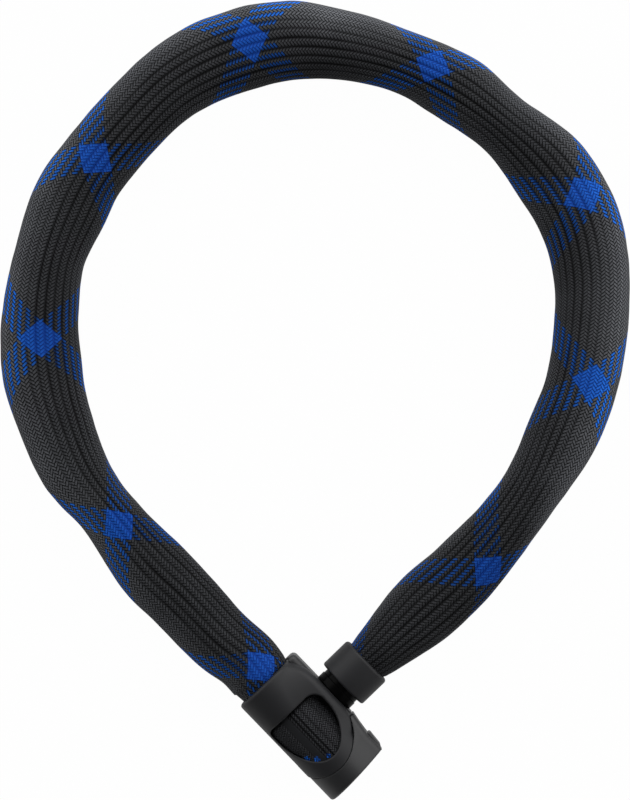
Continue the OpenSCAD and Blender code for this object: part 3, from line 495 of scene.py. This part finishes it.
def moulded(name, shape, low, high, step, finish):
    """Mesh of a moulded piece: the surface on which the distance function shape(u, v, w)
    is zero, in a box of the lock body's own axes, in millimetres. Each cell of the box
    that the surface crosses gets one point."""
    axes = [np.arange(a, b + step, step) for a, b in zip(low, high)]
    grid = np.meshgrid(*axes, indexing="ij")
    value = shape(*grid)
    inside = value < 0
    cells = tuple(n - 1 for n in value.shape)
    total, count = np.zeros(cells + (3,)), np.zeros(cells, int)
    crossed = []
    # The surface crosses lines of the grid, and each crossing counts for the four cells
    # round that line.
    for axis in range(3):
        lower = [slice(None)] * 3
        upper = [slice(None)] * 3
        lower[axis], upper[axis] = slice(0, -1), slice(1, None)
        lower, upper = tuple(lower), tuple(upper)
        at = np.argwhere(inside[lower] != inside[upper])
        a, b = value[lower][tuple(at.T)], value[upper][tuple(at.T)]
        point = np.stack([g[lower][tuple(at.T)] for g in grid], 1)
        point[:, axis] += step * a / (a - b)
        one, two = (axis + 1) % 3, (axis + 2) % 3
        for p in (0, -1):
            for q in (0, -1):
                cell = at.copy()
                cell[:, one] += p
                cell[:, two] += q
                np.add.at(total, tuple(cell.T), point)
                np.add.at(count, tuple(cell.T), 1)
        crossed.append((at, a < 0, one, two))
    used = count > 0
    number = np.full(cells, -1)
    number[used] = np.arange(used.sum())
    points = total[used] / count[used][:, None]
    # Round each crossed line the points of its four cells make a face.
    faces = []
    for at, outwards, one, two in crossed:
        ring = []
        for p, q in ((-1, -1), (0, -1), (0, 0), (-1, 0)):
            cell = at.copy()
            cell[:, one] += p
            cell[:, two] += q
            ring.append(number[tuple(cell.T)])
        ring = np.stack(ring, 1)
        ring[~outwards] = ring[~outwards][:, ::-1]
        faces.append(ring)
    # Then the points are moved onto the surface itself.
    small = 0.02
    for _ in range(4):
        here = shape(*points.T)
        slope = np.stack([(shape(*(points + d).T) - shape(*(points - d).T)) / (2 * small)
                          for d in np.eye(3) * small], 1)
        size = np.maximum((slope ** 2).sum(1), 0.2)
        move = -slope * (here / size)[:, None]
        far = np.linalg.norm(move, axis=1)
        points += move * np.minimum(1, 0.5 * step / np.maximum(far, 1e-9))[:, None]
    x, y = lock_point(points[:, 0], points[:, 1])
    return mesh_piece(name, np.column_stack([x, y, points[:, 2] + axis_height]) * MM,
                      np.vstack(faces), finish)


def mesh_piece(name, points, faces, finish):
    """Smooth mesh of triangles or quads as a piece."""
    mesh = bpy.data.meshes.new(name)
    mesh.from_pydata(np.asarray(points).tolist(), [], np.asarray(faces).tolist())
    mesh.polygons.foreach_set("use_smooth", [True] * len(mesh.polygons))
    mesh.materials.append(finish)
    mesh.update()
    piece = bpy.data.objects.new(name, mesh)
    bpy.context.scene.collection.objects.link(piece)
    return piece


def plastic(name, colour, rough, grain=0.00003, **fixed):
    """Moulded plastic with a fine spark-eroded grain and slightly uneven gloss."""
    mottle = 0.10
    finish, shader, wire = new_finish(name, rough, **fixed)
    place = wire.node("ShaderNodeTexCoord", (), (), "Object")
    cloud = noise(wire, place, 60, 3.0)
    fine = noise(wire, place, 2600, 2.0)
    dark = tuple(c * (1 - mottle) for c in colour) + (1,)
    light = tuple(c * (1 + mottle) for c in colour) + (1,)
    tone = wire.tint(dark, light, cloud.ease(0.3, 0.7) * 0.7 + fine * 0.3)
    wire.tree.links.new(tone.socket, shader.inputs["Base Color"])
    wire.tree.links.new((rough * (0.86 + 0.2 * cloud + 0.1 * fine)).socket,
                        shader.inputs["Roughness"])
    grain_height(shader, wire, fine, grain, 0.6)
    return finish


# Sizes along the lock body (u), towards the plug (v) and up (w), from the mouth's middle.
cover_radius, cover_wall, underside = 16.0, 2.0, -15.5
plug_axis_w = plug_height - axis_height
tongue_centre, tongue_half = (24.0, -1.5), (28.4, 23.0)
window_from, window_side, window_reach, window_half = 18.0, 6.0, 22.0, 15.0
window_corner, plug_side_corner = 2.4, 6.0
lug_reach, lug_from, lug_to, lug_top, lug_corner = 19.3, -0.6, 39.0, 6.0, 3.0
pin_hole, boss_room, boss_reach = 7.6, 8.1, 17.4     # hole for the pin, and room for its boss
gap = 0.1
# Plan outline of the flare, from the mouth to the tongue.
flare_u = np.array([-4, 0.3, 2.3, 4.8, 8, 11.3, 14, 20, 26, 30.5, 33.3, 36.5, 39.7, 43, 47, 56])
flare_v = np.array([14.6, 15.6, 16.5, 17.5, 18.45, 18.95, 19.15, 19.2, 19.2, 19.2, 19.1, 18.6,
                    17.5, 15.8, 12.9, 9])
# Its edge arches up above the socket, and rises a little again beside the tongue.
edge_low, arch_rise, arch_middle, arch_half, tongue_rise = 6.15, 6.6, 20, 20.0, 1.7
flare_edge = edge_low + np.maximum(
    arch_rise * np.clip(1 - ((flare_u - arch_middle) / arch_half) ** 2, 0, 1),
    tongue_rise * np.clip((flare_u - 31) / 7, 0, 1))
fine_u = np.linspace(-4, 56, 400)
flare_table = eased(fine_u, flare_u, np.column_stack([flare_v, flare_edge]))


def lug_block(u, v, w, grow):
    """The lug without its hole, grown by a gap where its neighbours leave room for it."""
    block = cut(v - lug_reach - grow, w - lug_top - grow, lug_corner)
    block = cut(block, underside - w, 1.0)
    block = cut(cut(block, lug_from - grow - u, 2.4), u - lug_to - grow, 0.8)
    return cut(block, cover_radius + gap - grow - np.hypot(v, w), 0.15)


def window_shape(u, v):
    """The window in plan: straight towards the mouth, and an arch towards the key end."""
    half = np.maximum(v - window_half, -v - window_half + 0.5)
    corner = np.where(v > 0, plug_side_corner, window_corner)
    square = cut(cut(half, window_from - u, corner), u - window_from - window_side, 0.01)
    arch = oval(u - window_from - window_side, v - 0.25, window_reach, window_half - 0.25)
    return np.minimum(square, np.maximum(arch, window_from + window_side - 0.5 - u))


def tongue_edge(u, v):
    """The cover in plan, where it ends in the tongue."""
    arch = oval(u - tongue_centre[0], v - tongue_centre[1], *tongue_half)
    return np.where(u > tongue_centre[0], arch, np.abs(v - tongue_centre[1]) - tongue_half[1])


def cover_shape(u, v, w):
    """The cover: a tube with the flare at its side, less the window, lug and boss."""
    round_ = np.hypot(v, w)
    # The flare's upper side leans from its edge to where it touches the tube.
    reach = np.interp(u, fine_u, flare_table[:, 0])
    edge = np.interp(u, fine_u, flare_table[:, 1])
    lean = (np.arctan2(edge, reach)
            + np.arccos(np.clip(cover_radius / np.hypot(reach, edge), -1, 1)))
    flank = v * np.cos(lean) + w * np.sin(lean) - cover_radius
    flare = cut(flank, v - reach, 3.6 - 2.1 * np.clip((u - 34) / 5, 0, 1))
    flare = np.maximum(flare, np.maximum(0.5 - w, w * np.cos(lean) - v * np.sin(lean)))
    body = np.minimum(round_ - cover_radius, flare)
    body = cut(body, -u, 1.7)
    body = cut(body, cover_radius - cover_wall - round_, 0.35)
    body = cut(body, -np.maximum(window_shape(u, v), -w), 0.7)
    body = cut(body, tongue_edge(u, v), 0.4)
    body = cut(body, underside - w, 0.3)
    body = cut(body, -lug_block(u, v, w, gap), 0.3)
    boss = np.hypot(u - plug_from_mouth, w - plug_axis_w) - boss_room
    return np.maximum(body, -np.maximum(boss, -v))


soft_cover = plastic("soft_cover", (0.0125, 0.0127, 0.0140), 0.44, Specular_IOR_Level=0.21)
mould_step = 0.45
cover = moulded("top_cover_skin", cover_shape, (-0.7, -16.9, -16.3), (53.6, 20.2, 17.0),
                mould_step, soft_cover)
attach(cover, "lock_body")
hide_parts("top_cover")


# ---------------------------------------------------------------- socket lug
# A lug of hard plastic beside the cover, flat underneath and on its side, with the hole
# that the locking pin goes through. It is screwed to the core from within.
def lug_shape(u, v, w):
    """The lug with its hole, which is wider inside, where the core's boss is."""
    hole = np.hypot(u - plug_from_mouth, w - plug_axis_w)
    body = lug_block(u, v, w, 0)
    body = cut(body, pin_hole - hole, 0.3)
    return np.maximum(body, -np.maximum(hole - boss_room, v - boss_reach))


hard_shell = plastic("hard_shell", (0.0125, 0.0127, 0.0138), 0.40, Specular_IOR_Level=0.40)
lug = moulded("socket_lug_skin", lug_shape, (-1.5, 4.0, -16.3), (39.8, 20.0, 6.8),
              mould_step, hard_shell)
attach(lug, "lock_body")
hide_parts("socket_lug")


# ---------------------------------------------------------------- end casing and key cover
# The casing is a hard plastic shell round the lock cylinder. A flat cover slides in a
# runner in front of the keyhole and is pulled aside by its finger tab.
casing_radius, casing_reach, body_end = 15.6, 17.6, 61.0
casing_top, casing_corner, seam = 9.2, 2.5, 0.03
barrel_room, barrel_end, key_opening = 13.9, 58.11, 6.5
plate_from, plate_to, plate_half = 58.2, 60.0, 7.2
tab_from, tab_half, tab_seat, tab_reach = 50, 6.5, 17.62, 19.4
runner_room = 0.2                            # beside the plate


def casing_shape(u, v, w):
    """The casing: a round shell with a flat side beside the lug, closed at the key end."""
    round_ = np.hypot(v, w)
    # The end is slightly crowned, and slants.
    crowned = u - body_end + (round_ / casing_radius) ** 2 * 0.3 - 0.045 * (5 - v)
    top = casing_top - 2.3 * np.clip((49 - u) / 10, 0, 1) ** 1.2
    side = cut(v - casing_reach - 0.19 * np.clip(50 - u, 0, 11), w - top, casing_corner)
    side = cut(side, underside - w, 1.0)
    side = cut(side, lug_to + seam - u, 0.3)
    side = np.maximum(side, -v)
    body = np.minimum(joined(round_ - casing_radius, side, 6.0), round_ - casing_radius)
    body = cut(body, crowned, 1.4)
    body = cut(body, underside - w, 0.3)
    # It leaves room for the cover's tongue, the barrel and the runner of the key cover.
    reach = np.interp(u, fine_u, flare_table[:, 0])
    tongue = np.maximum(tongue_edge(u, v) - gap, np.minimum(
        round_ - cover_radius - gap, np.maximum(lug_top + gap - w, v - reach + 0.3)))
    body = cut(body, -np.minimum(tongue, cover_shape(u, v, w) - gap), 0.15)
    body = np.maximum(body, window_from - 1 - u)
    body = np.maximum(body, -np.maximum(round_ - barrel_room, u - barrel_end))
    runner = np.maximum(np.maximum(plate_from - gap - u, u - plate_to - gap),
                        np.abs(w) - plate_half - runner_room)
    runner = np.maximum(runner, -plate_half - runner_room - v)
    body = np.maximum(body, -runner)
    return cut(body, key_opening - round_, 0.5)


casing = moulded("end_casing_skin", casing_shape, (17.0, -16.4, -16.2), (63.0, 20.6, 16.4),
                 mould_step, hard_shell)
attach(casing, "lock_body")
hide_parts("end_casing")


def key_cover_shape(u, v, w):
    """The plate in the runner, with the finger tab at its plug end."""
    plate = np.maximum(np.maximum(plate_from - u, u - plate_to), np.abs(w) - plate_half)
    plate = np.maximum(plate, np.maximum(-plate_half - v, v - casing_reach - 0.2))
    tab = cut(cut(tab_from - u, np.abs(w) - tab_half, 0.6), tab_seat - v, 0.05)
    # Its outer side slants, and the corner at the key end is taken off.
    tab = cut(cut(tab, v - tab_reach + 0.09 * (u - 51.5), 1.1), u - plate_to, 0.3)
    tab = cut(tab, ((u - plate_to) + (v - 17.0)) * math.sqrt(0.5), 0.5)
    return np.minimum(plate, tab)


key_cover = moulded("key_cover_skin", key_cover_shape, (49.4, -7.8, -7.8), (60.6, 20.2, 7.8), 0.3,
                    hard_shell)
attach(key_cover, "dust_cover")
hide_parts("key_cover")


# ---------------------------------------------------------------- collar and neck
# The plug's grip: a soft plastic collar over the ferrule, and a glossy bush in front of
# it that stands against the lug. Both are turned about the pin.
def rounded(corners):
    """Closed outline of (v, r, radius) corners: way along the pin, distance from its axis,
    and the radius to which the corner is rounded."""
    corners = np.array(corners, float)
    outline = []
    for k in range(len(corners)):
        before, here, after = (corners[j % len(corners)][:2] for j in (k - 1, k, k + 1))
        radius = corners[k][2]
        if radius == 0:
            outline.append(here)
            continue
        a, b = (before - here), (after - here)
        a, b = a / np.linalg.norm(a), b / np.linalg.norm(b)
        half = math.acos(np.clip(a @ b, -1, 1)) / 2
        reach = radius / math.tan(half)
        centre = here + (a + b) / np.linalg.norm(a + b) * radius / math.sin(half)
        start, stop = here + a * reach - centre, here + b * reach - centre
        turn = math.atan2(start[0] * stop[1] - start[1] * stop[0], start @ stop)
        for s in np.linspace(0, turn, 7):
            c, d = math.cos(s), math.sin(s)
            outline.append(centre + (start[0] * c - start[1] * d, start[0] * d + start[1] * c))
    return np.array(outline)


def turned(name, outline, finish):
    """Closed ring turned about the plug's axis from an outline of (v, r) points."""
    sides = 144
    angle = np.arange(sides) * 2 * math.pi / sides
    v = np.repeat(outline[None, :, 0], sides, 0)
    r = outline[None, :, 1]
    u = plug_from_mouth + r * np.cos(angle)[:, None]
    w = plug_axis_w + r * np.sin(angle)[:, None]
    x, y = lock_point(u, v)
    points = np.stack([x, y, w + axis_height], 2).reshape(-1, 3) * MM
    n = len(outline)
    k, m = np.meshgrid(np.arange(sides), np.arange(n), indexing="ij")
    k2, m2 = (k + 1) % sides, (m + 1) % n
    faces = np.stack([k * n + m, k * n + m2, k2 * n + m2, k2 * n + m], 2).reshape(-1, 4)
    piece = mesh_piece(name, points, faces, finish)
    piece.data.set_sharp_from_angle(angle=math.radians(50))
    return piece


neck_from, collar_from, collar_to = 19.33, 25.3, 41.3
ferrule_from, sleeve_from = 26.4, 36.0       # where the collar widens inside
pin_r, ferrule_r, sleeve_r, collar_r = 5.2, 8.1, 11.1, 13.0
neck_r, flange_r = 9.9, 10.3
flange_to, slope_to = 23.1, 23.4             # where the bush's flange ends, and its slope
collar = turned("plug_collar_grip", rounded([
    (collar_from, pin_r, 0), (collar_from, collar_r, 1.1), (collar_to, collar_r, 1.6),
    (collar_to, sleeve_r, 0.4), (sleeve_from, sleeve_r, 0), (sleeve_from, ferrule_r, 0),
    (ferrule_from, ferrule_r, 0), (ferrule_from, pin_r, 0)]), soft_cover)
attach(collar, "loop_arm")
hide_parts("plug_collar")
neck_gloss = plastic("neck_gloss", (0.0006, 0.0006, 0.0007), 0.20, grain=0.00001,
                     Specular_IOR_Level=0.04)
neck = turned("plug_neck_bush", rounded([
    (neck_from, pin_r, 0), (neck_from, flange_r, 0.4), (flange_to, flange_r, 0.3),
    (slope_to, neck_r, 0.2), (collar_from, neck_r, 0), (collar_from, pin_r, 0)]), neck_gloss)
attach(neck, "loop_arm")
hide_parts("plug_neck")


# ---------------------------------------------------------------- window fabric
# A panel of the same braid, finer, glued round the core where the cover has its window.
# One band of it is pressed smooth. Blue yarns of it show at the end of the arch.
panel_from, panel_to, panel_turn = 17.1, 46.9, math.radians(88)
panel_r, panel_outer, panel_inner = 13.5, 13.82, 12.7
panel_rib, panel_stitch = 2.6, 1.6           # of its braid, across and along
groove_depth, band_depth, band_from, band_to = 0.16, 0.22, -6.8, -3.15
# Fold lines along the panel: where they lie, how deep they are and how wide.
fold_lines = ((-1.7, 0.55, 0.5), (0.35, 0.45, 0.45), (3.5, 0.25, 0.5), (-6.9, 0.2, 0.3),
              (-3.1, 0.3, 0.3), (8.6, 0.15, 0.6))
blue_dashes = ((38.8, -9.8), (42.3, -6.8), (44.4, -1.6))
dash_reach = (0.015, 0.016)                  # in turns of the braid, along and round


def panel_map(u, arc):
    """Place on the map "braid", from the way along and round the panel."""
    return (u / (panel_stitch * yarns_each_way) + 0.291,
            arc / (panel_rib * yarns_each_way / 2) + 0.12)


def past(v, edge):
    """0 before an edge of the band and 1 past it, with a short rise."""
    return 1 / (1 + np.exp(-(v - edge) / 0.15))


def panel_skin():
    """The panel's mesh, with its map and the values that its finish reads."""
    rows, columns = 116, 232
    u = np.linspace(panel_from, panel_to, rows)[:, None]
    turn = np.linspace(-panel_turn, panel_turn, columns)[None, :]
    arc = panel_r * turn
    v_flat = panel_r * np.sin(turn)
    smooth_band = past(v_flat, band_from) * (1 - past(v_flat, band_to))
    groove = (1 - np.abs(np.sin(math.pi * arc / panel_rib))) ** 2 * (1 - smooth_band)
    folds = sum(deep * np.exp(-((v_flat - at) / wide) ** 2) for at, deep, wide in fold_lines)
    depth = groove_depth * groove + band_depth * smooth_band + folds
    # It is tucked in along the straight edge and the plug's side, and bulges within.
    rim = np.exp(-((u - window_from - 0.3) / 0.8) ** 2)
    tucked = np.clip((v_flat - 12.5) / 0.5, 0, 1)
    bulge = (np.clip((np.abs(turn) - 0.85) / 0.4, 0, 1)
             * np.clip(0.4 - window_shape(u, 1.07 * v_flat), 0, 1))
    # Painted shade: darker in the grooves and folds, along the straight edge, and where it is
    # tucked in.
    shadow = np.clip(0.35 * groove + 1.4 * folds + 0.8 * rim + tucked, 0, 1)
    outer_r = panel_outer - depth - 0.5 * rim - 0.5 * tucked + 0.85 * bulge
    local = np.vstack([
        np.stack([u + 0 * turn, r * np.sin(turn), r * np.cos(turn)], 2).reshape(-1, 3)
        for r in (outer_r, np.full(outer_r.shape, panel_inner))])
    x, y = lock_point(local[:, 0], local[:, 1])
    points = np.column_stack([x, y, local[:, 2] + axis_height]) * MM
    k, m = np.meshgrid(np.arange(rows - 1), np.arange(columns - 1), indexing="ij")
    a = (k * columns + m).ravel()
    top = np.column_stack([a, a + columns, a + columns + 1, a + 1])
    shift = rows * columns
    faces = [top, top[:, ::-1] + shift]
    border = np.concatenate([np.arange(columns), np.arange(1, rows) * columns + columns - 1,
                             (rows - 1) * columns + np.arange(columns - 2, -1, -1),
                             np.arange(rows - 2, 0, -1) * columns])
    after = np.roll(border, -1)
    faces.append(np.column_stack([border, after, after + shift, border + shift]))
    piece = mesh_piece("window_braid", points, np.vstack(faces), window_braid)
    mesh = piece.data
    flat = np.column_stack([np.broadcast_to(part, (rows, columns)).ravel()
                            for part in panel_map(u, arc)])
    corner = np.empty(len(mesh.loops), int)
    mesh.loops.foreach_get("vertex_index", corner)
    layer = mesh.uv_layers.new(name="braid")
    layer.data.foreach_set("uv", np.vstack([flat, flat])[corner].astype(np.float32).ravel())
    for name, values in (("shadow", shadow), ("smooth_band", smooth_band + 0 * u)):
        values = np.concatenate([values.ravel()] * 2).astype(np.float32)
        mesh.attributes.new(name, "FLOAT", "POINT").data.foreach_set("value", values)
    mesh.set_sharp_from_angle(angle=math.radians(60))
    return piece


window_braid = braid_finish("window_braid", pressed=True, spots=[
    panel_map(u, panel_r * math.asin(v / panel_r)) for u, v in blue_dashes],
    spot_reach=dash_reach)
panel = panel_skin()
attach(panel, "lock_body")
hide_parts("window_fabric")


# ---------------------------------------------------------------- metal and rubber inside
# The inner pieces keep their modelled shape: a cast zinc core drawn black, as painted shade
# where it shows in the window beside the panel, turned and stamped steel, a brass rotor with
# its discs, plastic clamp rings, and a rubber wiper round the pin.
def metal(name, colour, rough, marks=30.0, stretch=(1, 1, 1), grain=0.00002):
    """Bare metal with fine marks of casting, turning or grinding."""
    finish, shader, wire = new_finish(name, rough, Metallic=1.0)
    place = wire.node("ShaderNodeTexCoord", (), (), "Object")
    turned_place = wire.node("ShaderNodeMapping", (), {"Vector": place, "Scale": stretch,
                                                       "Rotation": (0, 0, -lock_turn)})
    lines = noise(wire, turned_place, marks * 40, 3.0)
    cloud = noise(wire, place, marks * 4, 2.0)
    dark = tuple(c * 0.8 for c in colour) + (1,)
    wire.tree.links.new(wire.tint(dark, colour + (1,), 0.5 * lines + 0.5 * cloud).socket,
                        shader.inputs["Base Color"])
    wire.tree.links.new((rough * (0.75 + 0.5 * lines)).socket, shader.inputs["Roughness"])
    grain_height(shader, wire, lines, grain, 0.5)
    return finish


def rope(name):
    """Twisted steel wires, drawn by the height and place of the surface."""
    finish, shader, wire = new_finish(name, 0.35, Metallic=1.0)
    x, y, z = wire.node("ShaderNodeTexCoord", (), (), "Object").parts()
    lay = (x * 900 + y * 900 + z * 1400).sine() * 0.5 + 0.5
    # Painted shade: the low lines between the wires are drawn dark.
    wire.tree.links.new(wire.tint((0.12, 0.12, 0.125, 1), (0.58, 0.58, 0.6, 1), lay).socket,
                        shader.inputs["Base Color"])
    grain_height(shader, wire, lay, 0.0003, 0.8)
    return finish


inner_finishes = {
    metal("cast_zinc", (0.36, 0.37, 0.38), 0.5, 20.0, grain=0.00006): ("latch_lid",),
    # Painted shade: the core is drawn black for the shade round it in the window.
    plastic("coated_zinc", (0.004, 0.004, 0.0045), 0.5, grain=0.00006,
            Specular_IOR_Level=0.15): ("lock_core",),
    metal("turned_steel", (0.52, 0.52, 0.53), 0.3, 30.0, (1, 8, 8)): (
        "cable_anchor", "anchor_pin", "barrel_pin", "drill_plate", "latch", "sidebar", "cam",
        "plug_ferrule", "plug_cross_pin"),
    metal("spring_steel", (0.42, 0.43, 0.45), 0.28): ("latch_spring", "rotor_clip"),
    metal("lock_brass", (0.66, 0.47, 0.20), 0.32, 30.0, (1, 6, 6)): (
        "cylinder_barrel", "rotor", "lock_discs"),
    metal("chromed_pin", (0.62, 0.62, 0.64), 0.12, 30.0, (6, 1, 6), 0.00001): ("plug_pin",),
    rope("steel_rope"): ("fixed_cable", "free_cable"),
    plastic("cable_jacket", (0.016, 0.016, 0.017), 0.42): ("fixed_jacket", "free_jacket"),
    plastic("clamp_ring", (0.012, 0.012, 0.012), 0.5): ("fixed_clamp_ring", "plug_clamp_ring"),
    plastic("wiper_rubber", (0.010, 0.010, 0.010), 0.7, grain=0.00005): ("socket_seal",)}
for finish, names in inner_finishes.items():
    for name in names:
        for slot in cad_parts[name].material_slots:
            slot.material = finish


# ---------------------------------------------------------------- floor, backdrop and light
# A white table in a soft light tent. The tent is lit from behind the arch and is dark
# straight overhead. Looked at, table and tent are plain white but for a trace of shadow.
table_half = 3
floor_mesh = bpy.data.meshes.new("floor")
floor_mesh.from_pydata([(x * table_half, y * table_half, 0)
                        for x, y in ((-1, -1), (1, -1), (1, 1), (-1, 1))], [], [(0, 1, 2, 3)])
floor = bpy.data.objects.new("floor", floor_mesh)
bpy.context.scene.collection.objects.link(floor)
floor_finish, floor_shader, wire = new_finish("white_table", 0.9,
                                              Base_Color=(0.50, 0.50, 0.50, 1))
white_share, white_in_gloss = 0.985, 0.4
path = wire.node("ShaderNodeLightPath")
seen = path.other("Is Camera Ray").most(white_in_gloss * path.other("Is Glossy Ray"))
glow = wire.node("ShaderNodeEmission", (), {"Color": (1, 1, 1, 1), "Strength": 1.0})
matt = Wire(wire.tree, floor_shader.outputs[0])
mixed = wire.node("ShaderNodeMixShader", (), {0: seen * white_share, 1: matt, 2: glow})
wire.tree.links.new(mixed.socket, wire.tree.nodes["Material Output"].inputs["Surface"])
floor_mesh.materials.append(floor_finish)

world = bpy.data.worlds.new("light_tent")
world.use_nodes = True
bpy.context.scene.world = world
wire = Wire(world.node_tree, None)
direction = wire.node("ShaderNodeTexCoord", (), (), "Generated")
overhead = wire.node("ShaderNodeVectorMath", {"operation": "DOT_PRODUCT"},
                     {0: direction, 1: (-0.12, -0.22, 0.968)}, "Value")
from_arch = wire.node("ShaderNodeVectorMath", {"operation": "DOT_PRODUCT"},
                      {0: direction, 1: (0.25, 0.96, 0.1)}, "Value")
tent_low, tent_rise, darker_overhead = 0.26, 1.65, 0.8
strength = ((tent_low + tent_rise * from_arch.ease(-0.66, 0.32))
            * (1 - darker_overhead * overhead.ease(0.62, 0.90)))
looked_at = wire.node("ShaderNodeLightPath")
strength = strength * (1 - looked_at) + looked_at
background = world.node_tree.nodes["Background"]
world.node_tree.links.new(strength.socket, background.inputs["Strength"])
background.inputs["Color"].default_value = (1, 1, 1, 1)

lamp_data = bpy.data.lights.new("arch_side_light", "AREA")
lamp_data.shape, lamp_data.size, lamp_data.size_y = "RECTANGLE", 0.8, 0.35
lamp_data.energy = 1.2
lamp = bpy.data.objects.new("arch_side_light", lamp_data)
lamp.location = (0.12, 0.60, 0.28)
lamp.rotation_euler = (math.radians(-65), 0, math.radians(-11))
bpy.context.scene.collection.objects.link(lamp)

bpy.context.scene.view_settings.view_transform = "Standard"
